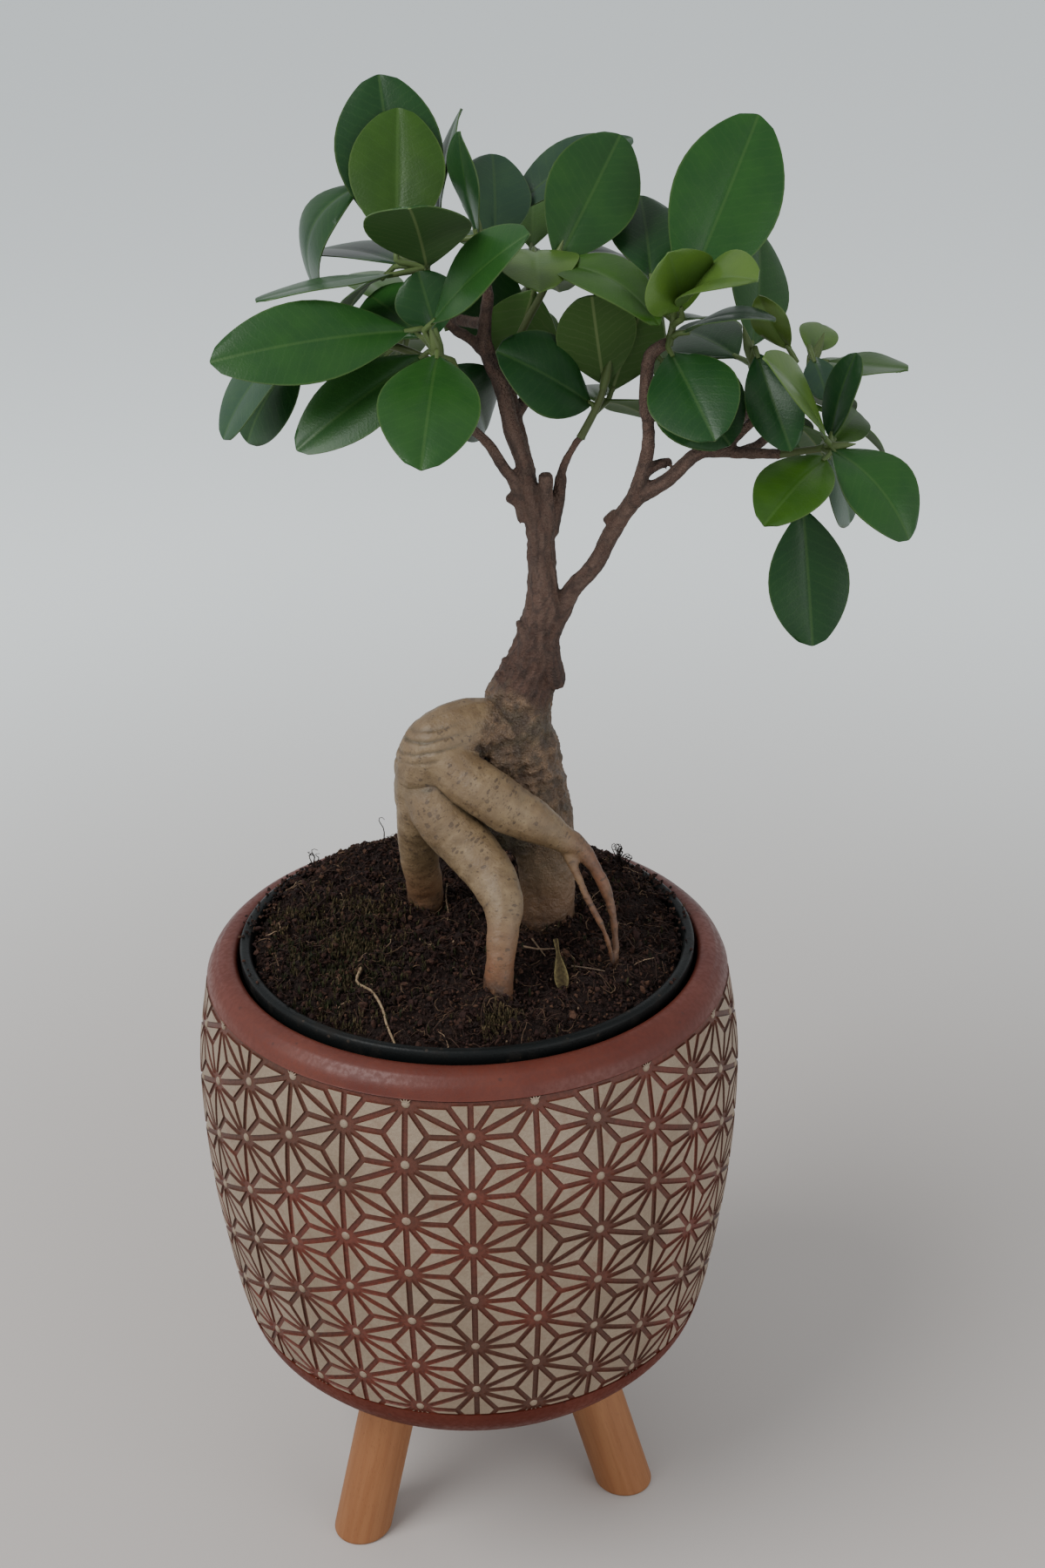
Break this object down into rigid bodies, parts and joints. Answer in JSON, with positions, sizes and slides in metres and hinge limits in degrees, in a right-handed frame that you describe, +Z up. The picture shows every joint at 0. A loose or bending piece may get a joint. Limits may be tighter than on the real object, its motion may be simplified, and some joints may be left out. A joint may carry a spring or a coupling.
{
  "type": "potted ficus bonsai",
  "caption": "Ficus bonsai with swollen crossing roots, branching trunk and glossy leaves, in a nursery pot inside a bellied patterned pot on splayed wooden legs.",
  "frame": {"origin": "middle of the footprint, on the surface the legs stand on", "axes": "+Z up, -Y towards the side that shows the crossing roots, +X towards the long branch"},
  "size_m": [0.1884, 0.1458, 0.3901],
  "materials": {
    "pot": "satin red-brown glaze with cream raised pattern",
    "leg_wood": "clear satin on beech",
    "nursery_plastic": "matte moulded",
    "soil": "loose dark peat",
    "bark": "living bark, smooth and tan on the roots, rough and brown above",
    "leaf": "glossy leathery leaf",
    "young_leaf": "glossy light green leaf"
  },
  "bodies": {
    "root": {"outer_pot": "pot", "leg_1": "leg_wood", "leg_2": "leg_wood", "leg_3": "leg_wood", "nursery_pot": "nursery_plastic", "soil": "soil", "tree": "bark", "shoot_left_top": "leaf", "shoot_left_front": "leaf", "shoot_left_low": "leaf", "shoot_middle_top": "leaf", "shoot_centre": "young_leaf", "shoot_twig": "leaf", "shoot_right_inner": "leaf", "shoot_right_upper": "leaf", "shoot_right_end": "leaf", "shoot_right_back": "young_leaf", "shoot_back_left": "leaf", "shoot_back_middle": "leaf", "shoot_back_centre": "leaf", "shoot_back_right": "leaf"}
  },
  "joints": []
}
